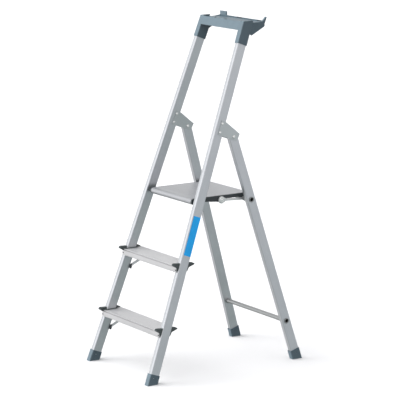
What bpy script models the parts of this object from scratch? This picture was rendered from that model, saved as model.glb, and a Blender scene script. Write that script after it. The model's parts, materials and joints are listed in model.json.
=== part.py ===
"""Aluminium platform step ladder: two treads, a folding platform and a tool tray.

Metres, +Z up.  The steps face -Y, the rear frame stands at +Y, and the origin is on the floor
under the middle of the four feet.  Left is -X and right is +X.

Two flat frames carry the ladder.  Each is drawn in its own plane and then leaned: the front
frame about the line where its front face meets the floor, the rear frame about the hinge.
Within its plane each frame narrows upwards by FLARE on both sides, so the folded frames lie
parallel.
"""
from math import atan2, ceil, cos, hypot, pi, radians, sin, sqrt, tan

import bmesh
import bpy
from mathutils import Matrix, Vector

# Driving dimensions.
LEAN_FRONT = radians(20.0)
LEAN_REAR = radians(16.9)
FLARE = radians(3.1)
FRONT_HALF_WIDTH = 0.231
GAP = 0.0003
WELD = 0.00001

STILE_WIDTH = 0.0213
STILE_DEPTH = 0.0395
LEG_WIDTH = 0.0196
LEG_DEPTH = 0.0395
WALL = 0.0015
RIDGE = 0.0008
GROOVE = 0.0010
STILE_BOTTOM = 0.019
STILE_TOP = 1.452

FOOT_WALL = 0.0025
FRONT_FOOT_TOP = 0.048
REAR_FOOT_HEIGHT = 0.041
FOOT_ROUND = 0.004

HINGE_BACK = 0.0925
HINGE_UP = 1.028
LEG_ABOVE_HINGE = 0.0110
LEG_FLOOR_CLEARANCE = 0.010
HINGE_PIN_RADIUS = 0.004
RIVET_RADIUS = 0.0024

UPPER_BAR_DROP = 0.2692
LOWER_BAR_DROP = 0.805
BAR_RADIUS = 0.00875
BAR_BORE = 0.0074
BAR_BEAD = 0.0115
BEAD_WIDTH = 0.0016

TREAD_HEIGHTS = {"lower": 0.2077, "upper": 0.4535}
TREAD_DEPTH = 0.0865
TREAD_OVERHANG = 0.0136
TREAD_RIBS = 11
TREAD_PLATE = 0.0034
TREAD_GAUGE = 0.0020
RIB_HEIGHT = 0.0008
RIB_FOOT = 0.0032
RIB_SLOPE = 0.0006
FLANGE_DROP = 0.0269
REAR_FLANGE_DROP = 0.038
FLANGE_REACH = 0.0150
REAR_REACH = 0.0130
FLANGE_HOLE = 0.0030
HOLE_DROP = 0.0180
WEB_DROP = 0.012
NOTCH_FRONT = 0.0027
NOTCH_REAR = 0.0605
CAP_THICKNESS = 0.0033

PLATFORM_HEIGHT = 0.700
PIVOT_BACK = 0.0190
PIVOT_UP = 0.738
DECK_HALF_WIDTH = 0.1437
DECK_REAR = 0.2641
DECK_THICKNESS = 0.014
DECK_RIBS = 24
DECK_GROOVE = 0.0005
DECK_GROOVE_WIDTH = 0.0040
DECK_WALL = 0.0016
DECK_CHAMBERS = 6
NOSE_RADIUS = 0.0125
END_CAP_OUTSIDE = 0.1500
LINK_THICKNESS = 0.0040
LINK_ARM_HALF = 0.0052
LINK_BOSS = 0.0145
KNEE_FROM_PIVOT = 0.1266
KNEE_LIFT = 0.0006
KNEE_HEAD = 0.0115

TRAY_SOCKET_BOTTOM = 1.386
TRAY_RIM = 1.381
TRAY_FLOOR = 1.3768
TRAY_REAR = 0.6010
TRAY_HALF_WIDTH = 0.1540
TRAY_WALL = 0.0028
FASCIA_BOTTOM = 1.435

SIDES = {"left": -1, "right": 1}
SIDEWAYS = Matrix(((0, 0, 1, 0), (1, 0, 0, 0), (0, 1, 0, 0), (0, 0, 0, 1)))

# Derived places.  Y values called "_run" are measured from the front stiles' foot line.
HINGE_RUN = HINGE_BACK * cos(LEAN_FRONT) + HINGE_UP * sin(LEAN_FRONT)
HINGE_Z = HINGE_UP * cos(LEAN_FRONT) - HINGE_BACK * sin(LEAN_FRONT)
LEG_LENGTH = HINGE_Z / cos(LEAN_REAR)
REAR_FOOT_RUN = HINGE_RUN + HINGE_Z * tan(LEAN_REAR) + (LEG_DEPTH / 2 + FOOT_WALL) / cos(LEAN_REAR)
FRONT_FOOT_RUN = -FOOT_WALL / cos(LEAN_FRONT)
FRONT_LINE = -(REAR_FOOT_RUN + FRONT_FOOT_RUN) / 2
STILE_CENTRE = FRONT_HALF_WIDTH - STILE_WIDTH / 2
STILE_INSIDE = FRONT_HALF_WIDTH - STILE_WIDTH
HINGE_X = STILE_CENTRE - HINGE_UP * tan(FLARE)
PIVOT_Y = FRONT_LINE + PIVOT_BACK * cos(LEAN_FRONT) + PIVOT_UP * sin(LEAN_FRONT)
PIVOT_Z = PIVOT_UP * cos(LEAN_FRONT) - PIVOT_BACK * sin(LEAN_FRONT)
BAR_Y = FRONT_LINE + HINGE_RUN + UPPER_BAR_DROP * sin(LEAN_REAR)
BAR_Z = HINGE_Z - UPPER_BAR_DROP * cos(LEAN_REAR)
REACH = hypot(BAR_Y - PIVOT_Y, BAR_Z - PIVOT_Z)
KNEE_Y = PIVOT_Y + KNEE_FROM_PIVOT * (BAR_Y - PIVOT_Y) / REACH
KNEE_Z = PIVOT_Z + KNEE_FROM_PIVOT * (BAR_Z - PIVOT_Z) / REACH + KNEE_LIFT
DECK_TOP = PLATFORM_HEIGHT - PIVOT_Z


# Scene and objects.
def clear_scene():
    for thing in list(bpy.data.objects):
        bpy.data.objects.remove(thing)


def new_collection(name):
    group = bpy.data.collections.new(name)
    bpy.context.scene.collection.children.link(group)
    return group


def new_material(name, colour, roughness, metallic):
    material = bpy.data.materials.new(name)
    material.use_nodes = True
    shader = material.node_tree.nodes["Principled BSDF"]
    shader.inputs["Base Color"].default_value = (*colour, 1)
    shader.inputs["Roughness"].default_value = roughness
    shader.inputs["Metallic"].default_value = metallic
    material.diffuse_color = (*colour, 1)
    return material


clear_scene()
LADDER = new_collection("step_ladder")
CUTTERS = new_collection("cutters")
ALUMINIUM = new_material("extruded_aluminium", (0.72, 0.73, 0.75), 0.38, 0.9)
CAST = new_material("pressed_aluminium", (0.66, 0.68, 0.69), 0.42, 0.9)
STEEL = new_material("zinc_plated_steel", (0.62, 0.62, 0.60), 0.35, 1.0)
PLASTIC = new_material("blue_grey_plastic", (0.21, 0.26, 0.31), 0.5, 0.0)
BLACK = new_material("black_plastic", (0.03, 0.033, 0.037), 0.5, 0.0)
BLUE = new_material("blue_label", (0.02, 0.31, 0.68), 0.35, 0.0)


def frame(name, location, rotation=(0, 0, 0), parent=None):
    """An empty that holds the pieces of one frame or one moving part."""
    empty = bpy.data.objects.new(name, None)
    empty.location = location
    empty.rotation_euler = rotation
    empty.parent = parent
    LADDER.objects.link(empty)
    return empty


def part(name, mesh, parent, material):
    """A named piece of the ladder, drawn in its parent's axes."""
    piece = bpy.data.objects.new(name, mesh)
    piece.parent = parent
    piece.data.materials.append(material)
    LADDER.objects.link(piece)
    return piece


def tool(name, mesh, parent):
    """A cutter, or a shape to be joined to a piece: never a piece itself."""
    shape = bpy.data.objects.new(name, mesh)
    shape.parent = parent
    shape.hide_render = True
    shape.display_type = "WIRE"
    CUTTERS.objects.link(shape)
    return shape


def combine(piece, operation, *shapes):
    for shape in shapes:
        modifier = piece.modifiers.new(f"{operation.lower()}_{shape.name}", "BOOLEAN")
        modifier.operation = operation
        modifier.object = shape
    return piece


def drill(piece, name, *rods):
    """Cut holes in one step: each rod comes with the frame that it is drawn in."""
    bpy.context.view_layer.update()
    joined = bmesh.new()
    for mesh, holder in rods:
        single = bmesh.new()
        single.from_mesh(mesh)
        single.transform(holder.matrix_world)
        placed = bpy.data.meshes.new(mesh.name)
        single.to_mesh(placed)
        single.free()
        joined.from_mesh(placed)
    mesh = bpy.data.meshes.new(name)
    joined.to_mesh(mesh)
    joined.free()
    combine(piece, "DIFFERENCE", tool(name, mesh, WORLD))


# Shapes.
def extrusion(name, outlines, start, end, sideways=False, turn=None):
    """A solid between two planes: outlines in X-Y, or in Y-Z when it is drawn sideways."""
    curve = bpy.data.curves.new(name, "CURVE")
    curve.dimensions = "2D"
    curve.fill_mode = "BOTH"
    curve.extrude = (end - start) / 2
    for outline in outlines:
        spline = curve.splines.new("POLY")
        spline.points.add(len(outline) - 1)
        spline.use_cyclic_u = True
        for point, (across, up) in zip(spline.points, outline):
            point.co = (across, up, 0, 1)
    drawing = bpy.data.objects.new(name, curve)
    LADDER.objects.link(drawing)
    ready = drawing.evaluated_get(bpy.context.evaluated_depsgraph_get())
    mesh = bpy.data.meshes.new_from_object(ready)
    bpy.data.objects.remove(drawing)
    body = bmesh.new()
    body.from_mesh(mesh)
    bmesh.ops.remove_doubles(body, verts=body.verts, dist=WELD)
    body.transform(Matrix.Translation((0, 0, (start + end) / 2)))
    if sideways:
        body.transform(SIDEWAYS)
    if turn:
        body.transform(turn)
    bmesh.ops.recalc_face_normals(body, faces=body.faces)
    if body.calc_volume(signed=True) < 0:
        bmesh.ops.reverse_faces(body, faces=body.faces)
    body.to_mesh(mesh)
    body.free()
    mesh.name = name
    return mesh


def box(name, low, high):
    """A box between two opposite corners."""
    body = bmesh.new()
    bmesh.ops.create_cube(body, size=1)
    size = [b - a for a, b in zip(low, high)]
    middle = [(a + b) / 2 for a, b in zip(low, high)]
    body.transform(Matrix.Translation(middle) @ Matrix.Diagonal((*size, 1)))
    mesh = bpy.data.meshes.new(name)
    body.to_mesh(mesh)
    body.free()
    return mesh


def rod(name, radius, start, end, turn=None, sides=16):
    """A plain cylinder along X, or along the axis that turn gives it."""
    body = bmesh.new()
    bmesh.ops.create_cone(body, cap_ends=True, segments=sides, radius1=radius, radius2=radius,
                          depth=end - start)
    body.transform(Matrix.Translation((0, 0, (start + end) / 2)))
    body.transform(Matrix.Rotation(pi / 2, 4, "Y"))
    if turn:
        body.transform(turn)
    mesh = bpy.data.meshes.new(name)
    body.to_mesh(mesh)
    body.free()
    return mesh


def turned(name, profile, parent, material, location, rotation, steps=16, ring=False):
    """A round piece about its own Z axis, from (radius, height) points, highest first."""
    mesh = bpy.data.meshes.new(name)
    count = len(profile)
    edges = [(i, i + 1) for i in range(count - 1)]
    if ring:
        edges.append((count - 1, 0))
    mesh.from_pydata([(radius, 0, height) for radius, height in profile], edges, [])
    piece = part(name, mesh, parent, material)
    piece.location = location
    piece.rotation_euler = rotation
    modifier = piece.modifiers.new("turn", "SCREW")
    modifier.axis = "Z"
    modifier.steps = steps
    modifier.render_steps = steps
    modifier.use_merge_vertices = True
    modifier.merge_threshold = WELD
    modifier.use_smooth_shade = False
    return piece


def arc(centre, radius, start, end, steps):
    """Points on a circle, from one angle to another in degrees."""
    angles = [radians(start + (end - start) * i / steps) for i in range(steps + 1)]
    return [(centre[0] + radius * cos(a), centre[1] + radius * sin(a)) for a in angles]


def rounded(low, high, radius, steps=3):
    """A rectangle with round corners, anticlockwise from its lower right corner."""
    left, bottom = low[0] + radius, low[1] + radius
    right, top = high[0] - radius, high[1] - radius
    corners = ((right, bottom, -90), (right, top, 0), (left, top, 90), (left, bottom, 180))
    return [point for x, y, start in corners
            for point in arc((x, y), radius, start, start + 90, steps)]


def section(width, depth, front):
    """Hollow stile section: the front face is a low ridge with a groove along its middle."""
    half = width / 2
    outside = rounded((-half, front), (half, front + depth), 0.0025)
    outside += [(-GROOVE, front - RIDGE), (0, front + GROOVE - RIDGE), (GROOVE, front - RIDGE)]
    inside = rounded((WALL - half, front + WALL + GROOVE), (half - WALL, front + depth - WALL),
                     0.001, 2)
    return [outside, inside]


def dome(radius, height, steps=2):
    """Half of a rivet head's profile, from its top down to its rim."""
    ball = (radius ** 2 + height ** 2) / (2 * height)
    rim = atan2(radius, ball - height)
    angles = [rim * i / steps for i in range(steps + 1)]
    return [(ball * sin(a), height - ball + ball * cos(a)) for a in angles]


def rivet_profile(shank, head, head_height, top, bottom):
    """Rivet with a round head at each end: its heads rest on top and bottom."""
    upper = [(r, top + h) for r, h in dome(head, head_height)]
    lower = [(r, bottom - h) for r, h in dome(head, head_height)]
    return upper + [(shank, top), (shank, bottom)] + lower[::-1]


def along_x(angle=0.0):
    """Rotation that lays a turned piece along X, tilted by an angle towards -Z."""
    return (0, pi / 2 + angle, 0)


# Frames.
FRONT = frame("front_frame", (0, FRONT_LINE, 0), (-LEAN_FRONT, 0, 0))
REAR = frame("rear_frame", (0, FRONT_LINE + HINGE_RUN, HINGE_Z), (LEAN_REAR, 0, 0))
DECK = frame("platform", (0, PIVOT_Y, PIVOT_Z))
WORLD = frame("ladder", (0, 0, 0))
STILE = {}
LEG = {}
for side, sign in SIDES.items():
    STILE[side] = frame(f"stile_{side}", (sign * STILE_CENTRE, 0, 0), (0, -sign * FLARE, 0), FRONT)
    LEG[side] = frame(f"leg_{side}", (sign * HINGE_X, 0, 0), (0, -sign * FLARE, 0), REAR)
FLOOR_CUT = tool("floor_cutter", box("floor_cutter", (-1, -1, -0.2), (1, 1, 0)), WORLD)


def stile_inside_at(run, height):
    """X of a front stile's inner face at a place in the side view."""
    up = run * sin(LEAN_FRONT) + height * cos(LEAN_FRONT)
    return STILE_INSIDE - up * tan(FLARE)


# Front frame.
def build_stile(side, sign):
    outlines = section(STILE_WIDTH, STILE_DEPTH, 0)
    mesh = extrusion(f"front_stile_{side}", outlines, STILE_BOTTOM, STILE_TOP)
    stile = part(f"front_stile_{side}", mesh, STILE[side], ALUMINIUM)
    holes = []
    for label, back, up in BRACKET_RIVETS:
        place = Matrix.Translation((0, back, up))
        hole = rod(f"{label}_hole", RIVET_RADIUS + GAP, -STILE_WIDTH, STILE_WIDTH, place)
        holes.append((hole, STILE[side]))
    start, end = sorted((sign * END_CAP_OUTSIDE, sign * (PIN_END + 2 * GAP)))
    holes.append((rod("pin_hole", PIN_RADIUS + GAP, start, end), DECK))
    turn = Matrix.Translation((0, STILE_DEPTH, TRAY_RIVET_UP)) @ Matrix.Rotation(pi / 2, 4, "Z")
    holes.append((rod("tray_hole", RIVET_RADIUS + GAP, -0.01, 0.01, turn), STILE[side]))
    drill(stile, f"stile_holes_{side}", *holes)


def build_front_foot(side):
    half = STILE_WIDTH / 2 + FOOT_WALL
    outline = rounded((-half, -FOOT_WALL - RIDGE), (half, STILE_DEPTH + FOOT_WALL), FOOT_ROUND)
    name = f"front_foot_{side}"
    foot = part(name, extrusion(name, [outline], -0.02, FRONT_FOOT_TOP), STILE[side], PLASTIC)
    hollow = rounded((-STILE_WIDTH / 2 - GAP, -RIDGE - GAP),
                     (STILE_WIDTH / 2 + GAP, STILE_DEPTH + GAP), 0.002)
    socket = extrusion(f"{name}_socket", [hollow], STILE_BOTTOM - GAP, 0.1)
    combine(foot, "DIFFERENCE", tool(f"{name}_socket", socket, STILE[side]), FLOOR_CUT)


# Hinge brackets: a sheet folded over the stile's rear edge, open below.
BRACKET_GAUGE = 0.0018
BRACKET_HEAD = 0.0048
HINGE_HEAD = 0.0064
HEAD_HEIGHT = 0.0020
BRACKET_RIVETS = (("upper", 0.0235, 1.0635), ("lower", 0.0230, 1.0275))
BRACKET_FRONT = 0.0160
BRACKET_BOTTOM = 1.0170
BRACKET_TOP = 1.0760
BRACKET_TIP = (0.1165, 1.0480)
BRACKET_CLEAR = STILE_WIDTH / 2 + GAP


def build_bracket(side):
    tip_back, tip_up = BRACKET_TIP
    bend = STILE_DEPTH - 0.002
    outline = rounded((BRACKET_FRONT, BRACKET_BOTTOM), (BRACKET_FRONT + 0.006, BRACKET_TOP), 0.0028)
    outline = [point for point in outline if point[0] < BRACKET_FRONT + 0.003]
    outline += arc((0.1060, BRACKET_BOTTOM + 0.008), 0.008, -90, -20, 4)
    outline += [BRACKET_TIP, (bend, BRACKET_TOP - 0.001)]
    half = BRACKET_CLEAR + BRACKET_GAUGE
    name = f"hinge_bracket_{side}"
    bracket = part(name, extrusion(name, [outline], -half, half, True), STILE[side], CAST)
    slope = (BRACKET_TOP - 0.001 - tip_up) / (bend - tip_back)
    below = BRACKET_GAUGE * sqrt(1 + slope ** 2)
    start = STILE_DEPTH + GAP
    end = tip_back + 0.01
    under = [(run, tip_up + slope * (run - tip_back) - below) for run in (end, start)]
    hollow = [(-0.01, 1.0), (end, 1.0), *under, (start, 1.1), (-0.01, 1.1)]
    mesh = extrusion(f"{name}_hollow", [hollow], -BRACKET_CLEAR, BRACKET_CLEAR, True)
    combine(bracket, "DIFFERENCE", tool(f"{name}_hollow", mesh, STILE[side]))
    holes = []
    for label, back, up in BRACKET_RIVETS:
        place = Matrix.Translation((0, back, up))
        hole = rod(f"{label}_hole", RIVET_RADIUS + GAP, -0.03, 0.03, place)
        holes.append((hole, STILE[side]))
    start, end = sorted((SIDES[side] * (HINGE_X - 0.03), SIDES[side] * (HINGE_X + 0.03)))
    holes.append((rod("pin_hole", HINGE_PIN_RADIUS + GAP, start, end), REAR))
    drill(bracket, f"{name}_holes", *holes)


def build_bracket_fasteners(side, sign):
    seat = BRACKET_CLEAR + BRACKET_GAUGE + GAP
    profile = rivet_profile(RIVET_RADIUS, BRACKET_HEAD, HEAD_HEIGHT, seat, -seat)
    for label, back, up in BRACKET_RIVETS:
        turned(f"bracket_rivet_{label}_{side}", profile, STILE[side], STEEL, (0, back, up),
               along_x(), 12)
    seat += GAP
    profile = rivet_profile(HINGE_PIN_RADIUS, HINGE_HEAD, HEAD_HEIGHT * 1.2, seat, -seat)
    turned(f"hinge_pin_{side}", profile, REAR, STEEL, (sign * HINGE_X, 0, 0), along_x(), 16)


# Treads: ribbed extrusions whose front flange passes in front of the stiles.
def tread_profile():
    top = [(0.0012, 0)]
    pitch = (TREAD_DEPTH - 0.008) / TREAD_RIBS
    for i in range(TREAD_RIBS):
        start = 0.004 + pitch * i
        top += [(start, 0), (start + RIB_SLOPE, -RIB_HEIGHT)]
        top += [(start + RIB_FOOT - RIB_SLOPE, -RIB_HEIGHT), (start + RIB_FOOT, 0)]
    under = -TREAD_PLATE
    rear_face = TREAD_DEPTH - TREAD_GAUGE
    rear = [(TREAD_DEPTH - 0.0012, 0), (TREAD_DEPTH, -0.0012), (TREAD_DEPTH, -REAR_FLANGE_DROP)]
    rear += [(rear_face, -REAR_FLANGE_DROP), (rear_face, under)]
    webs = []
    half = 0.0009
    for middle in (0.067, 0.034):
        webs += [(middle + half, under), (middle + half, -WEB_DROP)]
        webs += [(middle - half, -WEB_DROP), (middle - half, under)]
    front = [(0.0024, under), (0.0024, -FLANGE_DROP + 0.0018), (0.0060, -FLANGE_DROP + 0.0018)]
    front += [(0.0060, -FLANGE_DROP), (0.0008, -FLANGE_DROP), (0, -FLANGE_DROP + 0.0008)]
    groove = [(0, -0.0060), (0.0012, -0.0056), (0.0012, -0.0040), (0, -0.0036), (0, -0.0012)]
    return (top + rear + webs + front + groove)[::-1]


def tread_end(run, height):
    """X where a tread's top plate ends, short of the stile's inner face and the end cap."""
    behind = run + TREAD_OVERHANG + STILE_DEPTH / cos(LEAN_FRONT)
    return stile_inside_at(behind, height) - CAP_THICKNESS - GAP


def build_tread(level, height):
    run = height * tan(LEAN_FRONT) - TREAD_OVERHANG
    end = tread_end(run, height)
    inside = stile_inside_at(run, height)
    flange_end = inside + FLANGE_REACH
    front = FRONT_LINE + run
    name = f"tread_{level}"
    place = Matrix.Translation((0, front, height))
    mesh = extrusion(name, [tread_profile()], -flange_end, flange_end, True, place)
    tread = part(name, mesh, WORLD, ALUMINIUM)
    for side, sign in SIDES.items():
        foot, head = brace_ends(sign, run, height)
        flange_cut = abs(head.x) + BRACE_WIDTH / 2 + 0.0012
        cuts = (("notch", end, (NOTCH_FRONT, NOTCH_REAR), (-0.06, 0.01)),
                ("corner", inside + REAR_REACH, (NOTCH_REAR - 0.001, 0.1), (-0.07, 0.02)),
                ("flange_end", flange_cut, (TREAD_DEPTH - 0.0040, 0.11), (-0.08, -TREAD_PLATE)))
        for label, start, (near, far), (low, high) in cuts:
            across = sorted((sign * start, sign * 0.3))
            cutter = box(f"{name}_{label}_{side}", (across[0], front + near, height + low),
                         (across[1], front + far, height + high))
            combine(tread, "DIFFERENCE", tool(cutter.name, cutter, WORLD))
        hole = Matrix.Translation((sign * (flange_end - 0.0050), front, height - HOLE_DROP))
        hole = hole @ Matrix.Rotation(pi / 2, 4, "Z")
        peg = rod(f"{name}_hole_{side}", FLANGE_HOLE, -0.01, 0.01, hole, 16)
        combine(tread, "DIFFERENCE", tool(peg.name, peg, WORLD))
        build_tread_cap(level, side, sign, run, height, end)
        build_brace(level, side, sign, foot, head)


def build_tread_cap(level, side, sign, run, height, end):
    """Moulded saddle between tread and stile, with a pointed lug before and behind the stile."""
    front = FRONT_LINE + run
    place = Matrix.Translation((0, front, height))
    name = f"tread_cap_{level}_{side}"
    inside = stile_inside_at(run, height)
    flange_end = inside + FLANGE_REACH
    edge = NOTCH_FRONT + 0.0004
    back = NOTCH_REAR - GAP
    plan = [(end + GAP, edge), (inside + 0.0065, edge), (inside + 0.0065, -0.0120)]
    plan += [(inside + 0.0105, -0.0176), (inside + 0.0155, -0.0176), (inside + 0.0195, -0.0120)]
    plan += [(inside + 0.0175, 0.0800), (inside + 0.0155, 0.0865)]
    plan += [(inside + REAR_REACH + GAP, 0.0865), (inside + REAR_REACH + GAP, back)]
    plan += [(end + GAP, back)]
    plan = [(sign * x, y) for x, y in plan]
    if sign < 0:
        plan = plan[::-1]
    cap = part(name, extrusion(name, [plan], -0.04, 0.03, False, place), WORLD, BLACK)
    low = -FLANGE_DROP + 0.001
    profile = [(-0.0168, 0.0028), (0.0050, -0.0105), (0.0050, low), (0.0500, low)]
    profile += [(0.0580, -0.0115), (0.0840, -0.0030), (0.0860, -0.0012), (0.0856, 0.0008)]
    profile += [(0.0725, 0.0074), (0.0700, 0.0080), (-0.0080, 0.0100), (-0.0140, 0.0088)]
    profile += [(-0.0174, 0.0052)]
    mesh = extrusion(f"{name}_side_view", [profile], -0.3, 0.3, True, place)
    combine(cap, "INTERSECT", tool(mesh.name, mesh, WORLD))
    start, stop = sorted((sign * (inside - 0.02), sign * (flange_end + GAP)))
    nose = box(f"{name}_nose", (start, front - GAP, height - 0.1),
               (stop, front + edge - 0.0001, height + GAP))
    half = STILE_WIDTH / 2 + GAP
    stile = box(f"{name}_stile", (-half, -RIDGE - GAP, 0), (half, STILE_DEPTH + GAP, 1))
    low_web = [(inside - 0.02, -0.03), (inside + 0.0064, -0.03), (inside + 0.0064, 0.0450)]
    low_web += [(inside + 0.0131, 0.0500), (inside + 0.0131, 0.1), (inside - 0.02, 0.1)]
    low_web = [(sign * x, y) for x, y in low_web]
    if sign < 0:
        low_web = low_web[::-1]
    above = extrusion(f"{name}_above_web", [low_web], 0.0018, 0.03, False, place)
    combine(cap, "DIFFERENCE", tool(nose.name, nose, WORLD), tool(stile.name, stile, STILE[side]),
            tool(above.name, above, WORLD))


# Braces: a square tube from a foot on each stile, inwards and up to the tread's rear flange.
BRACE_DROP = 0.0744
BRACE_HEAD_DROP = 0.0264
BRACE_INSET = 0.0420
BRACE_HALF = 0.0048
BRACE_WIDTH = 0.0084
BRACE_WALL = 0.0013
BRACE_SEAT = 0.0020
BRACE_RIVET = 0.0018
BRACE_HEAD = 0.0036
BRACE_FOOT = (0.0068, 0.0062, 0.0088)


def brace_ends(sign, run, height):
    """Where a brace's axis meets the stile's rear inner corner and the tread's rear flange."""
    low = height - BRACE_DROP
    behind = low * tan(LEAN_FRONT) + STILE_DEPTH / cos(LEAN_FRONT)
    foot = Vector((sign * stile_inside_at(behind, low), FRONT_LINE + behind, low))
    rear = FRONT_LINE + run + TREAD_DEPTH - TREAD_GAUGE - GAP
    head = Vector((foot.x - sign * BRACE_INSET, rear, height - BRACE_HEAD_DROP))
    return foot, head


def sloping_bar(name, half_wide, half_deep, foot, head, low_plane, high_plane):
    """A bar along the line from foot to head, cut off by two planes of (point, normal)."""
    along = (head - foot).normalized()
    side = along.cross(Vector((0, 0, 1))).normalized()
    deep = side.cross(along)
    corners = ((-1, -1), (1, -1), (1, 1), (-1, 1))
    ends = []
    for point, normal in (low_plane, high_plane):
        ring = []
        for across, up in corners:
            start = foot + side * half_wide * across + deep * half_deep * up
            ring.append(start + along * (point - start).dot(normal) / along.dot(normal))
        ends.append(ring)
    mesh = bpy.data.meshes.new(name)
    faces = [(3, 2, 1, 0), (4, 5, 6, 7)]
    faces += [(i, (i + 1) % 4, (i + 1) % 4 + 4, i + 4) for i in range(4)]
    mesh.from_pydata(ends[0] + ends[1], [], faces)
    body = bmesh.new()
    body.from_mesh(mesh)
    bmesh.ops.recalc_face_normals(body, faces=body.faces)
    body.to_mesh(mesh)
    body.free()
    return mesh


def build_brace(level, side, sign, foot, head):
    lean = Vector((0, cos(LEAN_FRONT), -sin(LEAN_FRONT)))
    back = Vector((0, 1, 0))
    seat = (foot + lean * (BRACE_SEAT + GAP), lean)
    name = f"tread_brace_{level}_{side}"
    half = BRACE_WIDTH / 2
    mesh = sloping_bar(name, half, BRACE_HALF, foot, head, seat, (head, back))
    brace = part(name, mesh, WORLD, ALUMINIUM)
    bore = sloping_bar(f"{name}_bore", half - BRACE_WALL, BRACE_HALF - BRACE_WALL, foot, head,
                       (foot - lean * 0.01, lean), (head - back * 0.0060, back))
    combine(brace, "DIFFERENCE", tool(bore.name, bore, WORLD))
    build_brace_rivet(level, side, head, brace)

    name = f"brace_clamp_{level}_{side}"
    across, deep, tall = BRACE_FOOT
    up = (foot.y - FRONT_LINE) * sin(LEAN_FRONT) + foot.z * cos(LEAN_FRONT)
    corner = -sign * STILE_WIDTH / 2
    span = sorted((corner - sign * across, corner + sign * across))
    clamp = part(name, box(name, (span[0], STILE_DEPTH + GAP, up - tall),
                           (span[1], STILE_DEPTH + deep, up + tall)), STILE[side], BLACK)
    lip = sorted((corner - sign * GAP, corner - sign * (across - 0.0003)))
    mesh = box(f"{name}_lip", (lip[0], STILE_DEPTH - 0.0028, up - tall + 0.0003),
               (lip[1], STILE_DEPTH + deep - 0.0003, up + tall - 0.0003))
    pocket = sloping_bar(f"{name}_pocket", half + GAP, BRACE_HALF + GAP, foot, head,
                         (foot + lean * BRACE_SEAT, lean), (head, back))
    combine(clamp, "UNION", tool(mesh.name, mesh, STILE[side]))
    combine(clamp, "DIFFERENCE", tool(pocket.name, pocket, WORLD))


def build_brace_rivet(level, side, place, brace):
    """Rivet through the tread's rear flange into the end of a brace."""
    gauge = TREAD_GAUGE + 2 * GAP
    profile = [(r, gauge + h) for r, h in dome(BRACE_HEAD, 0.0015)]
    profile += [(BRACE_RIVET, gauge), (BRACE_RIVET, -0.0018), (0, -0.0018)]
    turned(f"brace_rivet_{level}_{side}", profile, WORLD, STEEL, place, (-pi / 2, 0, 0), 12)
    turn = Matrix.Translation(place) @ Matrix.Rotation(pi / 2, 4, "Z")
    for name, piece in ((f"brace_rivet_hole_{level}_{side}", brace),
                        (f"flange_rivet_hole_{level}_{side}", bpy.data.objects[f"tread_{level}"])):
        hole = rod(name, BRACE_RIVET + GAP, -0.0030, 0.0100, turn, 12)
        combine(piece, "DIFFERENCE", tool(name, hole, WORLD))


# Rear frame.
def build_leg(side):
    outlines = section(LEG_WIDTH, LEG_DEPTH, -LEG_DEPTH / 2)
    bottom = -LEG_LENGTH + LEG_FLOOR_CLEARANCE
    name = f"rear_leg_{side}"
    leg = part(name, extrusion(name, outlines, bottom, LEG_ABOVE_HINGE), LEG[side], ALUMINIUM)
    holes = (("hinge", HINGE_PIN_RADIUS + 0.0005, 0), ("upper", BAR_RADIUS + GAP, UPPER_BAR_DROP),
             ("lower", BAR_RADIUS + GAP, LOWER_BAR_DROP))
    start, end = sorted((SIDES[side] * 0.1, SIDES[side] * 0.3))
    rods = [(rod(label, radius, start, end, Matrix.Translation((0, 0, -drop))), REAR)
            for label, radius, drop in holes]
    drill(leg, f"{name}_holes", *rods)


def build_rear_foot(side):
    half = LEG_WIDTH / 2 + FOOT_WALL
    back = LEG_DEPTH / 2 + FOOT_WALL
    outline = rounded((-half, -back - RIDGE), (half, back), FOOT_ROUND)
    top = -LEG_LENGTH + REAR_FOOT_HEIGHT
    name = f"rear_foot_{side}"
    foot = part(name, extrusion(name, [outline], -LEG_LENGTH - 0.02, top), LEG[side], PLASTIC)
    hollow = rounded((-LEG_WIDTH / 2 - GAP, -LEG_DEPTH / 2 - RIDGE - GAP),
                     (LEG_WIDTH / 2 + GAP, LEG_DEPTH / 2 + GAP), 0.002)
    bottom = -LEG_LENGTH + LEG_FLOOR_CLEARANCE - GAP
    socket = extrusion(f"{name}_socket", [hollow], bottom, top + 0.02)
    combine(foot, "DIFFERENCE", tool(f"{name}_socket", socket, LEG[side]), FLOOR_CUT)


def build_crossbar(level, drop):
    """Tube through both legs, beaded inside and flared outside each of them."""
    middle = HINGE_X + drop * tan(FLARE)
    tilt = BAR_BEAD * tan(FLARE) + GAP
    outside = middle + LEG_WIDTH / 2 + tilt
    inside = middle - LEG_WIDTH / 2 - tilt
    outer = [(BAR_BORE, outside + BEAD_WIDTH), (BAR_BEAD - 0.0006, outside + BEAD_WIDTH)]
    outer += [(BAR_BEAD, outside + 0.0010), (BAR_BEAD - 0.0008, outside), (BAR_RADIUS, outside)]
    outer += [(BAR_RADIUS, inside), (BAR_BEAD, inside), (BAR_BEAD, inside - BEAD_WIDTH)]
    outer += [(BAR_RADIUS + 0.0006, inside - 0.0065), (BAR_RADIUS, inside - 0.0100)]
    mirrored = [(radius, -height) for radius, height in outer[::-1]]
    name = f"crossbar_{level}"
    turned(name, outer + mirrored, REAR, ALUMINIUM, (0, 0, -drop), along_x(), 20, True)


# Platform: an extruded deck with moulded end caps, swinging on pins in the front stiles.
PIN_RADIUS = 0.0040
PIN_END = STILE_INSIDE - PIVOT_UP * tan(FLARE) + 0.0050
PIN_START = DECK_HALF_WIDTH + 0.0020
BUSH_RADIUS = 0.0085
DECK_UNDER = DECK_TOP - DECK_THICKNESS
NOSE_CENTRE = (-0.0020, DECK_TOP - NOSE_RADIUS)


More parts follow.
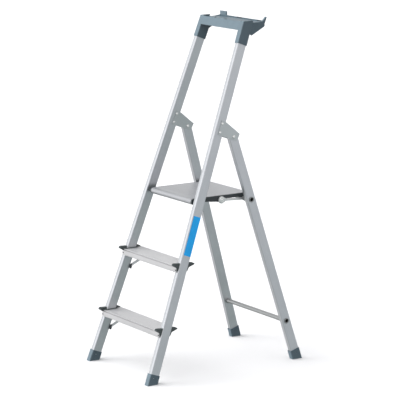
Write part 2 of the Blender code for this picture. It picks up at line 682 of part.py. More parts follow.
def deck_profile():
    """Side view of the deck about its pivot: a bull nose and a flat hollow plate."""
    nose = arc(NOSE_CENTRE, NOSE_RADIUS, 90, 270, 12)
    top = []
    pitch = (DECK_REAR - 0.020) / DECK_RIBS
    for i in range(DECK_RIBS):
        start = DECK_REAR - 0.004 - pitch * i
        end = start - DECK_GROOVE_WIDTH
        top += [(start, DECK_TOP), (start - 0.0010, DECK_TOP - DECK_GROOVE)]
        top += [(end + 0.0010, DECK_TOP - DECK_GROOVE), (end, DECK_TOP)]
    bottom = [(0.0160, DECK_TOP - 2 * NOSE_RADIUS), (0.0200, DECK_UNDER)]
    lip = [(DECK_REAR - 0.0035, DECK_UNDER), (DECK_REAR - 0.0035, DECK_UNDER - 0.0040)]
    lip += [(DECK_REAR, DECK_UNDER - 0.0040), (DECK_REAR, DECK_TOP - 0.0010)]
    lip += [(DECK_REAR - 0.0010, DECK_TOP)]
    return nose + bottom + lip + top


def deck_chambers():
    """The hollow spaces along the extrusion, open at both ends."""
    nose = arc(NOSE_CENTRE, NOSE_RADIUS - DECK_WALL, 90, 270, 8)
    nose += [(0.0140, DECK_TOP - 2 * NOSE_RADIUS + DECK_WALL), (0.0140, DECK_TOP - DECK_WALL)]
    chambers = [nose[::-1]]
    start, end = 0.0200, DECK_REAR - 0.0060
    pitch = (end - start) / DECK_CHAMBERS
    for i in range(DECK_CHAMBERS):
        low = (start + pitch * i + DECK_WALL / 2, DECK_UNDER + DECK_WALL)
        high = (start + pitch * (i + 1) - DECK_WALL / 2, DECK_TOP - DECK_WALL - DECK_GROOVE)
        chambers.append(rounded(low, high, 0.0015, 2))
    return chambers


def build_deck():
    mesh = extrusion("platform_deck", [deck_profile(), *deck_chambers()],
                     -DECK_HALF_WIDTH, DECK_HALF_WIDTH, True)
    part("platform_deck", mesh, DECK, ALUMINIUM)


def build_end_cap(side, sign):
    """Moulded cap on the deck's end, with an ear that drops around the knee pivot."""
    knee = (KNEE_Y - PIVOT_Y, KNEE_Z - PIVOT_Z)
    nose = arc(NOSE_CENTRE, NOSE_RADIUS - 0.0004, 90, 270, 12)
    under = DECK_UNDER - 0.0003
    ear = [(0.0160, DECK_TOP - 2 * NOSE_RADIUS + 0.0006), (0.0220, under - 0.0004)]
    ear += arc(knee, 0.0125, 215, 310, 6)
    ear += [(knee[0] + 0.018, under - 0.0003), (0.2100, under - 0.0002)]
    ear += [(0.2200, under - 0.0060), (0.2260, under - 0.0055), (0.2290, under - 0.0001)]
    ear += [(DECK_REAR - 0.0006, under), (DECK_REAR - 0.0006, DECK_TOP - 0.0004)]
    name = f"platform_end_cap_{side}"
    start, end = sorted((sign * (DECK_HALF_WIDTH + GAP), sign * END_CAP_OUTSIDE))
    cap = part(name, extrusion(name, [nose + ear], start, end, True), DECK, BLACK)
    start, end = sorted((sign * 0.1, sign * 0.2))
    hole = rod(f"{name}_hole", PIN_RADIUS + 0.0005, start, end)
    combine(cap, "DIFFERENCE", tool(hole.name, hole, DECK))


def build_platform_pivot(side, sign):
    """Pin from the inside of the stile into the deck's end, and the bush around it."""
    wall = STILE_INSIDE - PIVOT_UP * tan(FLARE)
    tilt = BUSH_RADIUS * tan(FLARE)
    bush = [(BUSH_RADIUS, wall - tilt - GAP), (BUSH_RADIUS, END_CAP_OUTSIDE + GAP)]
    bush += [(PIN_RADIUS + GAP, END_CAP_OUTSIDE + GAP), (PIN_RADIUS + GAP, wall - tilt - GAP)]
    pin = [(0, PIN_END), (PIN_RADIUS - 0.0005, PIN_END), (PIN_RADIUS, PIN_END - 0.0005)]
    pin += [(PIN_RADIUS, PIN_START + 0.0005), (PIN_RADIUS - 0.0005, PIN_START), (0, PIN_START)]
    lay = (0, sign * pi / 2, 0)
    turned(f"platform_bush_{side}", bush, DECK, BLACK, (0, 0, 0), lay, 20, True)
    turned(f"platform_pin_{side}", pin, DECK, STEEL, (0, 0, 0), lay, 16)


# Links: from the upper crossbar to the knee pivot on the deck's side.
def build_link(side, sign):
    holder = frame(f"platform_link_frame_{side}", (0, BAR_Y, BAR_Z))
    knee = (KNEE_Y - BAR_Y, KNEE_Z - BAR_Z)
    lean = atan2(knee[1], knee[0])
    turn = lean * 180 / pi
    side_step = (-LINK_ARM_HALF * sin(lean), LINK_ARM_HALF * cos(lean))
    eye = BAR_RADIUS + 0.0045
    eye_half = 60
    boss_half = ceil(LINK_ARM_HALF / LINK_BOSS * 180 / pi) + 8
    outline = arc((0, 0), eye, turn + eye_half, turn + 360 - eye_half, 16)
    outline += arc(knee, LINK_BOSS, turn + 180 + boss_half, turn + 540 - boss_half, 16)
    hole = arc((0, 0), BAR_RADIUS + 0.0005, 0, 360, 20)[:-1]
    start = END_CAP_OUTSIDE + 0.0012
    name = f"platform_link_{side}"
    span = sorted((sign * start, sign * (start + LINK_THICKNESS)))
    mesh = extrusion(name, [outline, hole[::-1]], *span, True)
    link = part(name, mesh, holder, CAST)
    bore = rod(f"{name}_bore", RIVET_RADIUS + GAP, *span, Matrix.Translation((0, *knee)), 16)
    for vertex in bore.vertices:
        vertex.co.x += 0.001 if vertex.co.x > (span[0] + span[1]) / 2 else -0.001
    combine(link, "DIFFERENCE", tool(bore.name, bore, holder))
    seat = start + LINK_THICKNESS + GAP
    profile = [(r, seat + h) for r, h in dome(KNEE_HEAD, 0.0032, 4)]
    profile += [(RIVET_RADIUS, seat), (RIVET_RADIUS, start - 0.0004), (0, start - 0.0004)]
    turned(f"link_rivet_{side}", profile, holder, STEEL, (0, *knee), (0, sign * pi / 2, 0), 20)


# Tool tray: sockets on both stiles, a fascia between them and a shallow dish behind it.
# Its side view is given as (run, height) from the stiles' foot line, its sockets along the stile.
TRAY_RIVET_UP = 1.408
TRAY_RIVET_HEAD = 0.0045
TRAY_RIVET_LENGTH = 0.0050
SOCKET_FRONT = 0.0030
SOCKET_ROUND = 0.003
SOCKET_STEP = 0.0085
TRAY_TOP = 1.3845
FASCIA_GAUGE = 0.0034
FIN_TIP = 0.0105
LUG_HEIGHT = 0.0150
LUG_INSIDE = 0.1080
GUSSET = ((0.505, 1.340), (0.5330, 1.3290), (0.5390, 1.3260), (0.6010, 1.3590), (0.6015, 1.3810),
          (0.5400, 1.3720), (0.515, 1.3700))
TOOL_HOLES = (("left", -0.118, 0.0070), ("middle", -0.055, 0.0045), ("right", 0.118, 0.0070))
TOOL_HOLE_INSET = 0.045


def build_tray():
    rear = FRONT_LINE + TRAY_REAR
    inner = TRAY_HALF_WIDTH - TRAY_WALL - GAP
    tray = part("tool_tray", tray_dish(rear), WORLD, PLASTIC)
    combine(tray, "UNION", *tray_walls(rear))
    for side in SIDES:
        outline = rounded((-STILE_WIDTH / 2 - FOOT_WALL, -SOCKET_FRONT),
                          (STILE_WIDTH / 2 + FOOT_WALL, STILE_DEPTH + FOOT_WALL), SOCKET_ROUND)
        socket = extrusion(f"tray_socket_{side}", [outline], TRAY_SOCKET_BOTTOM, 1.49)
        combine(tray, "UNION", tool(socket.name, socket, STILE[side]))
    behind = FRONT_LINE + TRAY_RIM * tan(LEAN_FRONT)
    above = box("tray_above", (-0.3, -0.3, TRAY_TOP), (0.3, 0.6, 1.6))
    inset = box("tray_inset", (-inner, behind + SOCKET_STEP, TRAY_FLOOR - GAP),
                (inner, rear - TRAY_WALL - GAP, 1.45))
    combine(tray, "DIFFERENCE", tool(above.name, above, WORLD), tool(inset.name, inset, WORLD))
    combine(tray, "UNION", *tray_lugs(rear))
    for side in SIDES:
        bore_tray_socket(tray, side)
        build_tray_rivet(side)
    for label, across, radius in TOOL_HOLES:
        place = Matrix.Translation((across, rear - TOOL_HOLE_INSET, TRAY_FLOOR))
        hole = rod(f"tool_hole_{label}", radius, -0.02, 0.02,
                   place @ Matrix.Rotation(pi / 2, 4, "Y"), 20)
        combine(tray, "DIFFERENCE", tool(hole.name, hole, WORLD))


def tray_dish(rear):
    """The dish's floor, which every other wall of the tray is joined to."""
    front = FRONT_LINE + TRAY_FLOOR * tan(LEAN_FRONT) - 0.001
    return box("tool_tray", (-TRAY_HALF_WIDTH + 0.001, front, TRAY_FLOOR - TRAY_WALL),
               (TRAY_HALF_WIDTH - 0.001, rear - 0.001, TRAY_FLOOR))


def tray_walls(rear):
    """The rear wall, the leaning fascia, the rim above it and both side gussets."""
    wall = box("tray_rear_wall", (-TRAY_HALF_WIDTH, rear - TRAY_WALL, TRAY_FLOOR - 0.008),
               (TRAY_HALF_WIDTH, rear, TRAY_RIM))
    fascia = box("tray_fascia", (-TRAY_HALF_WIDTH + 0.006, 0.0006 - FASCIA_GAUGE, FASCIA_BOTTOM),
                 (TRAY_HALF_WIDTH - 0.006, 0.0006, 1.4700))
    behind = FRONT_LINE + TRAY_RIM * tan(LEAN_FRONT)
    rim = box("tray_front_rim", (-TRAY_HALF_WIDTH + 0.002, behind - 0.003, TRAY_FLOOR - 0.001),
              (TRAY_HALF_WIDTH - 0.002, behind + 0.003, TRAY_RIM - 0.0015))
    walls = [tool(wall.name, wall, WORLD), tool(fascia.name, fascia, FRONT),
             tool(rim.name, rim, WORLD)]
    outline = [(FRONT_LINE + run, height) for run, height in GUSSET]
    for side, sign in SIDES.items():
        span = sorted((sign * (TRAY_HALF_WIDTH - TRAY_WALL), sign * TRAY_HALF_WIDTH))
        gusset = extrusion(f"tray_side_{side}", [outline], *span, True)
        walls.append(tool(gusset.name, gusset, WORLD))
    return walls


def tray_lugs(rear):
    """An upright lug on the rear rim's left end and a leaning fin on its right end."""
    lug = box("tray_left_lug", (-TRAY_HALF_WIDTH, rear - TRAY_WALL, TRAY_RIM - 0.006),
              (-LUG_INSIDE, rear + 0.0012, TRAY_RIM + LUG_HEIGHT))
    fin = [(rear - 0.0110, TRAY_RIM - 0.004), (rear + 0.0010, TRAY_RIM - 0.010)]
    fin += [(rear + FIN_TIP, TRAY_RIM + LUG_HEIGHT - 0.001)]
    fin += [(rear + FIN_TIP - 0.0030, TRAY_RIM + LUG_HEIGHT)]
    fin = extrusion("tray_right_fin", [fin], TRAY_HALF_WIDTH - 0.010, TRAY_HALF_WIDTH, True)
    return [tool(lug.name, lug, WORLD), tool(fin.name, fin, WORLD)]


def bore_tray_socket(tray, side):
    """Room for the stile's end, and the hole for the rivet behind it."""
    hollow = rounded((-STILE_WIDTH / 2 - GAP, -RIDGE - GAP),
                     (STILE_WIDTH / 2 + GAP, STILE_DEPTH + GAP), 0.002)
    bore = extrusion(f"tray_bore_{side}", [hollow], 1.3, STILE_TOP + GAP)
    turn = Matrix.Translation((0, STILE_DEPTH, TRAY_RIVET_UP)) @ Matrix.Rotation(pi / 2, 4, "Z")
    hole = rod(f"tray_socket_hole_{side}", RIVET_RADIUS + GAP, -0.01, 0.01, turn, 16)
    combine(tray, "DIFFERENCE", tool(bore.name, bore, STILE[side]),
            tool(hole.name, hole, STILE[side]))


def build_tray_rivet(side):
    seat = FOOT_WALL + GAP
    profile = [(r, seat + h) for r, h in dome(TRAY_RIVET_HEAD, 0.0018)]
    profile += [(RIVET_RADIUS, seat), (RIVET_RADIUS, -TRAY_RIVET_LENGTH), (0, -TRAY_RIVET_LENGTH)]
    turned(f"tray_rivet_{side}", profile, STILE[side], STEEL, (0, STILE_DEPTH, TRAY_RIVET_UP),
           (-pi / 2, 0, 0), 12)


# Label: plain film on the outside of the right stile.
LABEL_LOW = (0.0050, 0.5270)
LABEL_HIGH = (0.0380, 0.6860)
LABEL_GAUGE = 0.0004


def build_label():
    start = STILE_WIDTH / 2 + GAP
    outline = rounded(LABEL_LOW, LABEL_HIGH, 0.002)
    mesh = extrusion("side_label", [outline], start, start + LABEL_GAUGE, True)
    part("side_label", mesh, STILE["right"], BLUE)


def build_ladder():
    for level, height in TREAD_HEIGHTS.items():
        build_tread(level, height)
    for side, sign in SIDES.items():
        build_stile(side, sign)
        build_front_foot(side)
        build_bracket(side)
        build_bracket_fasteners(side, sign)
        build_leg(side)
        build_rear_foot(side)
        build_end_cap(side, sign)
        build_platform_pivot(side, sign)
        build_link(side, sign)
    build_crossbar("upper", UPPER_BAR_DROP)
    build_crossbar("lower", LOWER_BAR_DROP)
    build_deck()
    build_tray()
    build_label()


build_ladder()
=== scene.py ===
import json
from math import asin, atan2, cos, degrees, pi, radians, sin, tan

import bmesh
import bpy
from mathutils import Matrix, Vector

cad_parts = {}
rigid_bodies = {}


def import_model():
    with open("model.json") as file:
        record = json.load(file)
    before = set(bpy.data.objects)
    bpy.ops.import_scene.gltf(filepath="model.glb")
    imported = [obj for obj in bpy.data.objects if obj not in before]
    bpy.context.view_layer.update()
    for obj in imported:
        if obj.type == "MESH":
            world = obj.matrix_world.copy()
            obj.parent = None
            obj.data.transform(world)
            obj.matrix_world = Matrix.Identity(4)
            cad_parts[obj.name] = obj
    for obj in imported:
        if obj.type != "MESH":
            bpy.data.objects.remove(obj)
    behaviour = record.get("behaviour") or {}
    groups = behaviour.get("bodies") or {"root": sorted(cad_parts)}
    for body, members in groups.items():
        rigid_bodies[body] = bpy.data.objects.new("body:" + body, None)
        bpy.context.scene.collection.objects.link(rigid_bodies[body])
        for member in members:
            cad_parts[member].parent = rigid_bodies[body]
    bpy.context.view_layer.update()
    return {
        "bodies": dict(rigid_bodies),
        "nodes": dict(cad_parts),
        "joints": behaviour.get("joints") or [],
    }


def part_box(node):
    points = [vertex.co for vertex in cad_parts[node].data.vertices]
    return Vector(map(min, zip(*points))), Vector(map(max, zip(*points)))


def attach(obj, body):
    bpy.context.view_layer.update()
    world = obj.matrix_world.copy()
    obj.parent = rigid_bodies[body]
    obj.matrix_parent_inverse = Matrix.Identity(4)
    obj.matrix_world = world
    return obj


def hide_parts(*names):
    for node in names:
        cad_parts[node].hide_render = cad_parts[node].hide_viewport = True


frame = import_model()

NODES = frame["nodes"]
JOINTS = {joint["name"]: Vector(joint["pos_m"]) for joint in frame["joints"]}
SIDES = {"left": -1, "right": 1}

# Points closer than this are merged.
WELD = 0.00001

# Sizes of the CAD parts that the pieces below are drawn to.
GAP = 0.0003
STILE_WIDTH = 0.0213
STILE_DEPTH = 0.0395
LEG_WIDTH = 0.0196

# The leaning planes that the ladder is drawn in.
LEAN_FRONT = radians(20.0)
LEAN_REAR = radians(16.9)
FLARE = radians(3.1)
HINGE_BACK = 0.0925
HINGE_UP = 1.028
STILE_CENTRE = 0.22035
HINGE = JOINTS["rear_frame_hinge"]
FOOT_LINE = HINGE.y - HINGE_BACK * cos(LEAN_FRONT) - HINGE_UP * sin(LEAN_FRONT)
HINGE_X = STILE_CENTRE - HINGE_UP * tan(FLARE)

FRONT = Matrix.Translation((0, FOOT_LINE, 0)) @ Matrix.Rotation(-LEAN_FRONT, 4, "X")
REAR = Matrix.Translation(HINGE) @ Matrix.Rotation(LEAN_REAR, 4, "X")
STILE = {}
LEG = {}
for side, sign in SIDES.items():
    flare = Matrix.Rotation(-sign * FLARE, 4, "Y")
    STILE[side] = FRONT @ Matrix.Translation((sign * STILE_CENTRE, 0, 0)) @ flare
    LEG[side] = REAR @ Matrix.Translation((sign * HINGE_X, 0, 0)) @ flare


# Materials.
class Graph:
    """A material's or a world's nodes, made and joined in one line each."""

    def __init__(self, owner):
        """Start from an empty tree."""
        owner.use_nodes = True
        self.tree = owner.node_tree
        self.tree.nodes.clear()

    def node(self, kind, **settings):
        """A node: names in capitals set sockets, with _ for a space, others set properties."""
        made = self.tree.nodes.new(kind)
        for name, value in settings.items():
            if name[0].isupper():
                self.feed(made.inputs[name.replace("_", " ")], value)
            else:
                setattr(made, name, value)
        return made

    def feed(self, socket, value):
        """Link a socket to another node's output, or set its value."""
        if isinstance(value, bpy.types.NodeSocket):
            self.tree.links.new(value, socket)
        else:
            socket.default_value = value

    def calculate(self, operation, first, second):
        """The result of one Math node."""
        made = self.node("ShaderNodeMath", operation=operation)
        self.feed(made.inputs[0], first)
        self.feed(made.inputs[1], second)
        return made.outputs[0]

    def ramp(self, fac, *stops):
        """A colour ramp from (place, grey or colour) stops."""
        made = self.node("ShaderNodeValToRGB", Fac=fac)
        elements = made.color_ramp.elements
        for index, (place, tone) in enumerate(stops):
            colour = tone if isinstance(tone, tuple) else (tone, tone, tone)
            element = elements[index] if index < 2 else elements.new(place)
            element.position = place
            element.color = (*colour, 1)
        return made.outputs["Color"]


def material(name, shader_settings):
    """A material with its graph and its Principled shader."""
    made = bpy.data.materials.new(name)
    graph = Graph(made)
    shader = graph.node("ShaderNodeBsdfPrincipled")
    out = graph.node("ShaderNodeOutputMaterial")
    graph.feed(out.inputs["Surface"], shader.outputs["BSDF"])
    for socket, value in shader_settings.items():
        graph.feed(shader.inputs[socket], value)
    return made, graph, shader


def aluminium(name, colour, rough, turn, grain=(900, 900, 6), tint=0.05):
    """Extruded or drawn aluminium: fine lines along one direction of a turned frame."""
    made, graph, shader = material(name, {"Metallic": 1.0})
    where = graph.node("ShaderNodeTexCoord").outputs["Object"]
    turned = graph.node("ShaderNodeMapping", vector_type="TEXTURE", Vector=where)
    turned.inputs["Rotation"].default_value = turn
    stretched = graph.node("ShaderNodeMapping", Vector=turned.outputs["Vector"])
    stretched.inputs["Scale"].default_value = grain
    lines = graph.node("ShaderNodeTexNoise", Vector=stretched.outputs["Vector"], Scale=1.0,
                       Detail=4.0, Roughness=0.6)
    cloud = graph.node("ShaderNodeTexNoise", Vector=turned.outputs["Vector"], Scale=14.0,
                       Detail=3.0, Roughness=0.55)
    tone = graph.ramp(lines.outputs["Fac"], (0.30, tuple(c * (1 - tint) for c in colour)),
                      (0.70, tuple(min(1, c * (1 + tint)) for c in colour)))
    cloudy = graph.ramp(cloud.outputs["Fac"], (0.35, 0.955), (0.65, 1.0))
    mixed = graph.node("ShaderNodeMix", data_type="RGBA", blend_type="MULTIPLY")
    graph.feed(mixed.inputs["Factor"], 1.0)
    graph.feed(mixed.inputs[6], tone)
    graph.feed(mixed.inputs[7], cloudy)
    graph.feed(shader.inputs["Base Color"], mixed.outputs[2])
    low = graph.calculate("MULTIPLY", lines.outputs["Fac"], 0.10)
    high = graph.calculate("MULTIPLY", cloud.outputs["Fac"], 0.10)
    spread = graph.calculate("ADD", graph.calculate("ADD", low, high), rough - 0.10)
    graph.feed(shader.inputs["Roughness"], spread)
    bump = graph.node("ShaderNodeBump", Strength=0.25, Distance=0.00004,
                      Height=lines.outputs["Fac"])
    graph.feed(shader.inputs["Normal"], bump.outputs["Normal"])
    return made


def plastic(name, colour, rough, grain=0.00003):
    """Moulded plastic: a fine etched grain and slightly uneven gloss."""
    made, graph, shader = material(name, {"Specular IOR Level": 0.5})
    where = graph.node("ShaderNodeTexCoord").outputs["Object"]
    etched = graph.node("ShaderNodeTexVoronoi", Vector=where, Scale=1400.0)
    cloud = graph.node("ShaderNodeTexNoise", Vector=where, Scale=30.0, Detail=4.0)
    tone = graph.ramp(cloud.outputs["Fac"], (0.30, tuple(c * 0.93 for c in colour)),
                      (0.70, tuple(c * 1.06 for c in colour)))
    graph.feed(shader.inputs["Base Color"], tone)
    uneven = graph.calculate("MULTIPLY", cloud.outputs["Fac"], 0.14)
    graph.feed(shader.inputs["Roughness"], graph.calculate("ADD", uneven, rough - 0.07))
    bump = graph.node("ShaderNodeBump", Strength=0.5, Distance=grain,
                      Height=etched.outputs["Distance"])
    graph.feed(shader.inputs["Normal"], bump.outputs["Normal"])
    return made


def steel(name, colour, rough):
    """Zinc-plated steel: bright, with a faint mottled bloom."""
    made, graph, shader = material(name, {"Metallic": 1.0})
    where = graph.node("ShaderNodeTexCoord").outputs["Object"]
    bloom = graph.node("ShaderNodeTexNoise", Vector=where, Scale=320.0, Detail=3.0)
    tone = graph.ramp(bloom.outputs["Fac"], (0.35, tuple(c * 0.90 for c in colour)),
                      (0.65, tuple(c * 1.05 for c in colour)))
    graph.feed(shader.inputs["Base Color"], tone)
    uneven = graph.calculate("MULTIPLY", bloom.outputs["Fac"], 0.16)
    graph.feed(shader.inputs["Roughness"], graph.calculate("ADD", uneven, rough - 0.08))
    return made


ALUMINIUM = (0.62, 0.635, 0.66)
MATERIALS = {
    "across": aluminium("aluminium_drawn_across", (0.645, 0.645, 0.655), 0.34, (0, 0, 0),
                        (6, 900, 900)),
    "deck": aluminium("deck_aluminium", (0.50, 0.51, 0.53), 0.34, (0, 0, 0), (6, 900, 900)),
    "pressed": aluminium("pressed_aluminium", (0.56, 0.59, 0.60), 0.40, (0, 0, 0),
                         (500, 500, 500), 0.03),
    "steel": steel("zinc_plated_steel", (0.94, 0.94, 0.93), 0.26),
    "tube": aluminium("aluminium_tube", (0.38, 0.39, 0.39), 0.34, (0, 0, 0), (6, 900, 900)),
    "plastic": plastic("blue_grey_plastic", (0.066, 0.099, 0.121), 0.42),
    "black": plastic("black_plastic", (0.031, 0.038, 0.042), 0.42),
    "saddle": plastic("saddle_plastic", (0.052, 0.064, 0.066), 0.42),
    "label": plastic("label_film", (0.003, 0.36, 0.82), 0.35, 0.00001),
    "print": plastic("label_lines", (0.70, 0.80, 0.86), 0.35, 0.00001),
    "bright": aluminium("bright_pressed_aluminium", (0.80, 0.80, 0.80), 0.36, (0, 0, 0),
                        (500, 500, 500), 0.03),
    # Near-black painted shade for the insides of grooves, bores, recesses, slots and the tread cap's peg,
    # standing in for the shade in these hollows.
    "bore": plastic("unlit_bore", (0.006, 0.006, 0.007), 0.80),
}
for side in SIDES:
    MATERIALS[f"stile_{side}"] = aluminium(f"aluminium_stile_{side}", ALUMINIUM, 0.34,
                                           tuple(STILE[side].to_euler()))
    MATERIALS[f"leg_{side}"] = aluminium(f"aluminium_leg_{side}", ALUMINIUM, 0.34,
                                         tuple(LEG[side].to_euler()))


def finish_of(name):
    """The material that a node's own name calls for."""
    side = "left" if name.endswith("left") else "right"
    if name.startswith("front_stile"):
        return MATERIALS[f"stile_{side}"]
    if name.startswith("rear_leg"):
        return MATERIALS[f"leg_{side}"]
    if "rivet" in name or "pin" in name:
        return MATERIALS["steel"]
    if name.startswith(("hinge_bracket", "platform_link")):
        return MATERIALS["pressed"]
    if "foot" in name or name == "tool_tray":
        return MATERIALS["plastic"]
    if name == "side_label":
        return MATERIALS["label"]
    if name.startswith(("tread_cap", "brace_clamp", "platform_end_cap", "platform_bush")):
        return MATERIALS["black"]
    return MATERIALS["deck" if name == "platform_deck" else "across"]


# Shapes. SIDEWAYS lays an outline's X-Y onto Y-Z; the others turn a lathe's Z onto X or Y.
SIDEWAYS = Matrix(((0, 0, 1, 0), (1, 0, 0, 0), (0, 1, 0, 0), (0, 0, 0, 1)))
ALONG_X = Matrix.Rotation(pi / 2, 4, "Y")
ALONG_Y = Matrix.Rotation(-pi / 2, 4, "X")


def middle_of(node):
    """The middle of a CAD node's box."""
    low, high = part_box(node)
    return (Vector(low) + Vector(high)) / 2


def body_of(node):
    """The name of the body that a CAD node rides on."""
    return next(name for name, empty in frame["bodies"].items() if empty == NODES[node].parent)


def arc(centre, radius, start, end, steps):
    """Points on a circle, from one angle to another in degrees."""
    angles = [radians(start + (end - start) * i / steps) for i in range(steps + 1)]
    return [(centre[0] + radius * cos(a), centre[1] + radius * sin(a)) for a in angles]


def rounded(low, high, radius, steps=4):
    """A rectangle with round corners, anticlockwise from its lower right corner."""
    left, bottom = low[0] + radius, low[1] + radius
    right, top = high[0] - radius, high[1] - radius
    corners = ((right, bottom, -90), (right, top, 0), (left, top, 90), (left, bottom, 180))
    return [point for x, y, start in corners
            for point in arc((x, y), radius, start, start + 90, steps)]


def to_mesh(shape, place):
    """A closed mesh from a bmesh, moved to its place."""
    bmesh.ops.remove_doubles(shape, verts=shape.verts, dist=WELD)
    shape.transform(place)
    bmesh.ops.recalc_face_normals(shape, faces=shape.faces)
    if shape.calc_volume(signed=True) < 0:
        bmesh.ops.reverse_faces(shape, faces=shape.faces)
    mesh = bpy.data.meshes.new("shape")
    shape.to_mesh(mesh)
    shape.free()
    return mesh


def prism(outlines, start, end, place=Matrix()):
    """A solid between two planes across Z, from outlines in X-Y, the first one outside."""
    curve = bpy.data.curves.new("outline", "CURVE")
    curve.dimensions = "2D"
    curve.fill_mode = "BOTH"
    curve.extrude = (end - start) / 2
    for outline in outlines:
        spline = curve.splines.new("POLY")
        spline.points.add(len(outline) - 1)
        spline.use_cyclic_u = True
        for point, (across, up) in zip(spline.points, outline):
            point.co = (across, up, 0, 1)
    drawing = bpy.data.objects.new("outline", curve)
    bpy.context.scene.collection.objects.link(drawing)
    ready = drawing.evaluated_get(bpy.context.evaluated_depsgraph_get())
    mesh = bpy.data.meshes.new_from_object(ready)
    bpy.data.objects.remove(drawing)
    shape = bmesh.new()
    shape.from_mesh(mesh)
    return to_mesh(shape, place @ Matrix.Translation((0, 0, (start + end) / 2)))


def box(low, high):
    """A box between two opposite corners."""
    shape = bmesh.new()
    bmesh.ops.create_cube(shape, size=1)
    size = [b - a for a, b in zip(low, high)]
    middle = [(a + b) / 2 for a, b in zip(low, high)]
    return to_mesh(shape, Matrix.Translation(middle) @ Matrix.Diagonal((*size, 1)))


def lathe(profile, place, steps=48, closed=False, flutes=(0, 0)):
    """A solid turned about Z from (radius, height) points; flutes give (half length, depth)."""
    half, depth = flutes
    shape = bmesh.new()
    rings = []
    for step in range(steps):
        turn = 2 * pi * step / steps
        sunk = depth if step % 6 < 2 else 0
        points = [(radius - sunk if abs(height) < half else radius, height) for radius, height in profile]
        rings.append([shape.verts.new((r * cos(turn), r * sin(turn), h)) for r, h in points])
    count = len(profile)
    for ring, following in zip(rings, rings[1:] + rings[:1]):
        for near in range(count if closed else count - 1):
            far = (near + 1) % count
            shape.faces.new((ring[near], ring[far], following[far], following[near]))
    return to_mesh(shape, place)


def rod(radius, top, bottom, place, steps=32):
    """A plain round cutter about Z."""
    return lathe([(0, top), (radius, top), (radius, bottom), (0, bottom)], place, steps)


def joined(*meshes):
    """Several shapes in one mesh."""
    shape = bmesh.new()
    for mesh in meshes:
        shape.from_mesh(mesh)
    mesh = bpy.data.meshes.new("shape")
    shape.to_mesh(mesh)
    shape.free()
    return mesh


def combined(mesh, operation, tools):
    """The mesh after a Boolean with each of the tool meshes."""
    collection = bpy.context.scene.collection
    work = bpy.data.objects.new("work", mesh)
    helpers = [bpy.data.objects.new("tool", tool) for tool in tools]
    for thing in (work, *helpers):
        collection.objects.link(thing)
    for helper in helpers:
        modifier = work.modifiers.new("cut", "BOOLEAN")
        modifier.operation = operation
        modifier.object = helper
    bpy.context.view_layer.update()
    ready = work.evaluated_get(bpy.context.evaluated_depsgraph_get())
    result = bpy.data.meshes.new_from_object(ready)
    for thing in (work, *helpers):
        bpy.data.objects.remove(thing)
    return result


def give_second_finish(mesh, wanted=lambda point: True):
    """Give the piece's second material to the faces whose middles are wanted."""
    for face in mesh.polygons:
        if wanted(face.center):
            face.material_index = 1


def round_edges(piece, width, segments=2):
    """Rounded edges, by modifiers, on a piece with flat faces."""
    join = piece.modifiers.new("join", "WELD")
    join.merge_threshold = WELD
    flat = piece.modifiers.new("flat", "DECIMATE")
    flat.decimate_type = "DISSOLVE"
    flat.angle_limit = radians(0.6)
    edge = piece.modifiers.new("edge", "BEVEL")
    edge.width = width
    edge.segments = segments
    edge.limit_method = "ANGLE"
    edge.angle_limit = radians(40)
    edge.use_clamp_overlap = True


def add_piece(name, mesh, body, finishes, nodes, edge=0.0):
    """A finished piece on a body, in place of CAD nodes; without an edge width it is smooth."""
    mesh.materials.clear()
    for finish in finishes:
        mesh.materials.append(MATERIALS[finish])
    piece = bpy.data.objects.new(name, mesh)
    bpy.context.scene.collection.objects.link(piece)
    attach(piece, body)
    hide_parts(*nodes)
    if edge:
        round_edges(piece, edge)
    else:
        mesh.shade_smooth()
        mesh.set_sharp_from_angle(angle=radians(35))
    return piece


def rework(node, finish, adds=(), cuts=(), edge=0.0008, segments=3):
    """A CAD node's shape with detail added to it and cut from it."""
    mesh = NODES[node].data.copy()
    if adds:
        mesh = combined(mesh, "UNION", adds)
    if cuts:
        mesh = combined(mesh, "DIFFERENCE", cuts)
    piece = add_piece(f"{node}_moulded", mesh, body_of(node), (finish,), (node,), edge)
    piece.modifiers["edge"].segments = segments
    return piece


# Rivets, pins and bushes.
RIVET_SHANK = 0.0024
BRACE_SHANK = 0.0018
BRACKET_GAUGE = 0.0018
BRACKET_SEAT = STILE_WIDTH / 2 + GAP + BRACKET_GAUGE + GAP
BRACKET_RIVETS = {"upper": (0.0235, 1.0635), "lower": (0.0230, 1.0275)}
TRAY_RIVET_UP = 1.408
TRAY_RIVET_SEAT = 0.0028
BUSH_BORE = 0.0043


def head_profile(radius, height, seat, dimple):
    """A round head from the floor of its dimple out to its rim, resting on its seat."""
    floor = seat + height * 0.45
    crown = dimple * 1.25
    points = [(0, floor), (dimple * 0.8, floor), (dimple, seat + height * 0.96)]
    for i in range(7):
        angle = pi / 2 * (1 - i / 6)
        rise = height * (0.2 + 0.8 * sin(angle))
        points.append((crown + (radius - crown) * cos(angle), seat + rise))
    points.append((radius, seat))
    return points


def through_rivet(radius, shank, height, seat, dimple):
    """Profile of a rivet with a head on each side, from one end to the other."""
    upper = head_profile(radius, height, seat, dimple)
    return upper + [(shank, seat), (shank, -seat)] + [(r, -h) for r, h in upper[::-1]]


def blind_rivet(radius, shank, height, seat, end, dimple):
    """Profile of a rivet with one head and a plain shank that goes in as far as its end."""
    return head_profile(radius, height, seat, dimple) + [(shank, seat), (shank, end), (0, end)]


def add_fastener(node, profile, place, steps=40):
    """A turned steel fastener in place of its CAD node."""
    add_piece(f"{node}_set", lathe(profile, place, steps), body_of(node),
              ("steel",), (node,))


